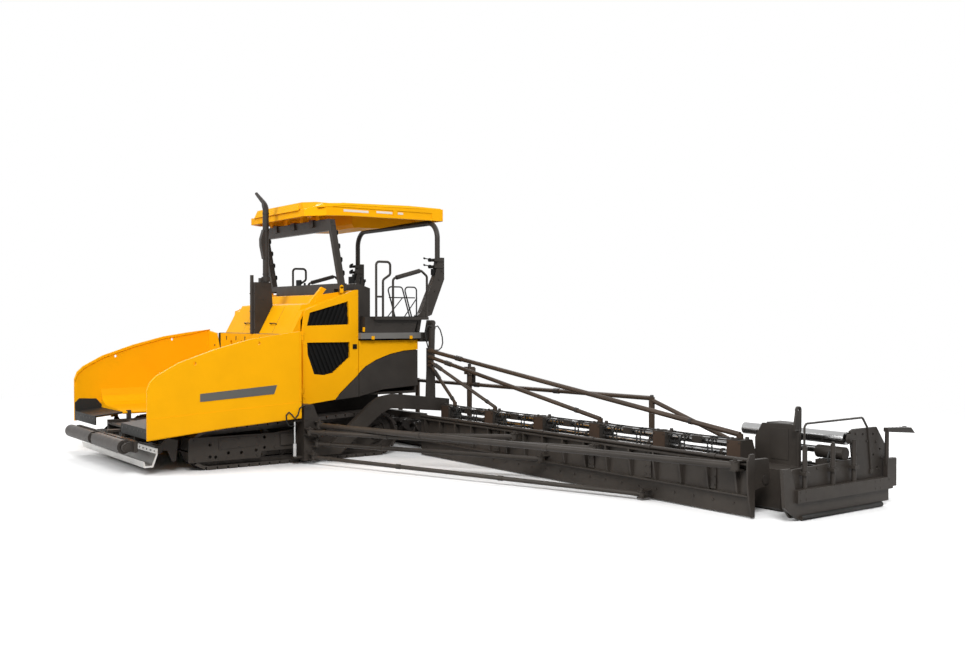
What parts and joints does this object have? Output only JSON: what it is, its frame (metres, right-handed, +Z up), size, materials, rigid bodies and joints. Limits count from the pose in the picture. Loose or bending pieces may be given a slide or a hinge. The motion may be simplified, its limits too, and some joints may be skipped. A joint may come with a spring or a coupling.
{
  "type": "asphalt paver",
  "caption": "Tracked asphalt paver with folding hopper wings, push rollers, a roofed operator's platform, long augers and a very wide lifting screed.",
  "frame": {"origin": "on the ground under the middle of the machine's bounding box", "axes": "+X is the way it drives, +Y its left side, +Z up"},
  "size_m": [7.435, 18.516, 4.4176],
  "materials": {
    "yellow_paint": "semi-gloss yellow paint",
    "dark_paint": "satin warm dark grey paint",
    "black_rubber": "matt",
    "walkway_grey": "matt grey anti-slip paint",
    "track_steel": "worn dark steel",
    "silver_steel": "brushed",
    "chrome": "polished",
    "black_grille": "matt black"
  },
  "bodies": {
    "chassis": {"chassis_frame": "dark_paint", "hopper_rear_wall": "yellow_paint", "conveyor": "track_steel", "track_left": "track_steel", "track_right": "track_steel", "track_frames": "dark_paint", "track_wheels": "track_steel", "tow_columns": "dark_paint", "levelling_cylinders": "chrome", "engine_block": "dark_paint", "engine_hood": "yellow_paint", "exhaust": "dark_paint", "side_panels": "yellow_paint", "side_skirts": "dark_paint", "platform": "walkway_grey", "deck_boxes": "dark_paint", "handrails": "dark_paint", "seats": "black_rubber", "canopy_frame": "dark_paint", "roof": "yellow_paint", "front_deflector": "silver_steel", "auger_carrier": "dark_paint", "baffles": "dark_paint", "baffle_braces": "dark_paint"},
    "push_beam": {"push_beam": "dark_paint"},
    "screed": {"tow_arms": "dark_paint", "screed_body": "dark_paint", "drive_boxes": "dark_paint", "cover_tubes": "chrome", "screed_stays": "dark_paint"},
    "wing_left": {"hopper_wing_left": "yellow_paint", "hopper_flap_left": "black_rubber"},
    "wing_barrel_left": {"wing_barrel_left": "dark_paint"},
    "wing_rod_left": {"wing_rod_left": "chrome"},
    "push_roller_left": {"push_roller_left": "track_steel"},
    "auger_left": {"auger_left": "track_steel"},
    "engine_door_left": {"engine_door_left": "yellow_paint", "door_grille_left": "black_grille"},
    "lift_barrel_left": {"lift_barrel_left": "dark_paint"},
    "lift_rod_left": {"lift_rod_left": "chrome"},
    "extension_left": {"extension_left": "dark_paint", "extension_tube_left": "chrome"},
    "end_gate_left": {"end_gate_left": "dark_paint"},
    "wing_right": {"hopper_wing_right": "yellow_paint", "hopper_flap_right": "black_rubber"},
    "wing_barrel_right": {"wing_barrel_right": "dark_paint"},
    "wing_rod_right": {"wing_rod_right": "chrome"},
    "push_roller_right": {"push_roller_right": "track_steel"},
    "auger_right": {"auger_right": "track_steel"},
    "engine_door_right": {"engine_door_right": "yellow_paint", "door_grille_right": "black_grille"},
    "lift_barrel_right": {"lift_barrel_right": "dark_paint"},
    "lift_rod_right": {"lift_rod_right": "chrome"},
    "extension_right": {"extension_right": "dark_paint", "extension_tube_right": "chrome"},
    "end_gate_right": {"end_gate_right": "dark_paint"}
  },
  "joints": [
    {"name": "wing_fold_left", "type": "hinge", "parent": "chassis", "child": "wing_left", "pos_m": [2.2, 0.64, 0.742], "axis": [1, 0, 0], "range_deg": [0, 50]},
    {"name": "wing_barrel_swing_left", "type": "hinge", "parent": "chassis", "child": "wing_barrel_left", "pos_m": [2.9, 0.8, 0.35], "axis": [1, 0, 0], "range_deg": [0, 40.5]},
    {"name": "wing_rod_slide_left", "type": "slide", "parent": "wing_barrel_left", "child": "wing_rod_left", "axis": [0, 0.8973, 0.4413], "range_m": [0, 0.335]},
    {"name": "wing_fold_right", "type": "hinge", "parent": "chassis", "child": "wing_right", "pos_m": [2.2, -0.64, 0.742], "axis": [-1, 0, 0], "range_deg": [0, 50]},
    {"name": "wing_barrel_swing_right", "type": "hinge", "parent": "chassis", "child": "wing_barrel_right", "pos_m": [2.9, -0.8, 0.35], "axis": [-1, 0, 0], "range_deg": [0, 40.5]},
    {"name": "wing_rod_slide_right", "type": "slide", "parent": "wing_barrel_right", "child": "wing_rod_right", "axis": [0, -0.8973, 0.4413], "range_m": [0, 0.335]},
    {"name": "push_beam_swing", "type": "hinge", "parent": "chassis", "child": "push_beam", "pos_m": [3.39, 0, 0.425], "axis": [0, 0, 1], "range_deg": [-6, 6]},
    {"name": "push_roller_spin_left", "type": "hinge", "parent": "push_beam", "child": "push_roller_left", "pos_m": [3.61, 0.735, 0.425], "axis": [0, 1, 0], "continuous": true},
    {"name": "push_roller_spin_right", "type": "hinge", "parent": "push_beam", "child": "push_roller_right", "pos_m": [3.61, -0.735, 0.425], "axis": [0, 1, 0], "continuous": true},
    {"name": "auger_spin_left", "type": "hinge", "parent": "chassis", "child": "auger_left", "pos_m": [-1.43, 4.5, 0.42], "axis": [0, 1, 0], "continuous": true},
    {"name": "auger_spin_right", "type": "hinge", "parent": "chassis", "child": "auger_right", "pos_m": [-1.43, -4.5, 0.42], "axis": [0, 1, 0], "continuous": true},
    {"name": "screed_lift", "type": "hinge", "parent": "chassis", "child": "screed", "pos_m": [0.795, 0, 0.18], "axis": [0, 1, 0], "range_deg": [0, 6]},
    {"name": "lift_barrel_swing_left", "type": "hinge", "parent": "chassis", "child": "lift_barrel_left", "pos_m": [-1.57, 1.59, 2.2], "axis": [0, 1, 0], "range_deg": [-13.4, 0]},
    {"name": "lift_rod_slide_left", "type": "slide", "parent": "lift_barrel_left", "child": "lift_rod_left", "axis": [0.0297, 0, -0.9996], "range_m": [-0.219, 0]},
    {"name": "lift_barrel_swing_right", "type": "hinge", "parent": "chassis", "child": "lift_barrel_right", "pos_m": [-1.57, -1.59, 2.2], "axis": [0, 1, 0], "range_deg": [-13.4, 0]},
    {"name": "lift_rod_slide_right", "type": "slide", "parent": "lift_barrel_right", "child": "lift_rod_right", "axis": [0.0297, 0, -0.9996], "range_m": [-0.219, 0]},
    {"name": "extension_slide_left", "type": "slide", "parent": "screed", "child": "extension_left", "axis": [0, -1, 0], "range_m": [0, 0.3]},
    {"name": "end_gate_lift_left", "type": "slide", "parent": "extension_left", "child": "end_gate_left", "axis": [0, 0, 1], "range_m": [0, 0.12]},
    {"name": "engine_door_swing_left", "type": "hinge", "parent": "chassis", "child": "engine_door_left", "pos_m": [0.775, 1.4, 1.8], "axis": [0, 0, -1], "range_deg": [0, 80]},
    {"name": "extension_slide_right", "type": "slide", "parent": "screed", "child": "extension_right", "axis": [0, 1, 0], "range_m": [0, 0.3]},
    {"name": "end_gate_lift_right", "type": "slide", "parent": "extension_right", "child": "end_gate_right", "axis": [0, 0, 1], "range_m": [0, 0.12]},
    {"name": "engine_door_swing_right", "type": "hinge", "parent": "chassis", "child": "engine_door_right", "pos_m": [0.775, -1.4, 1.8], "axis": [0, 0, 1], "range_deg": [0, 80]}
  ],
  "couplings": [
    {"joint": "wing_barrel_swing_left", "follows": "wing_fold_left", "ratio": 0.8018},
    {"joint": "wing_rod_slide_left", "follows": "wing_fold_left", "m_per_rad": 0.3759},
    {"joint": "wing_barrel_swing_right", "follows": "wing_fold_right", "ratio": 0.8018},
    {"joint": "wing_rod_slide_right", "follows": "wing_fold_right", "m_per_rad": 0.3759},
    {"joint": "lift_barrel_swing_left", "follows": "screed_lift", "ratio": -2.2143},
    {"joint": "lift_rod_slide_left", "follows": "screed_lift", "m_per_rad": -2.0751},
    {"joint": "lift_barrel_swing_right", "follows": "screed_lift", "ratio": -2.2143},
    {"joint": "lift_rod_slide_right", "follows": "screed_lift", "m_per_rad": -2.0751}
  ]
}
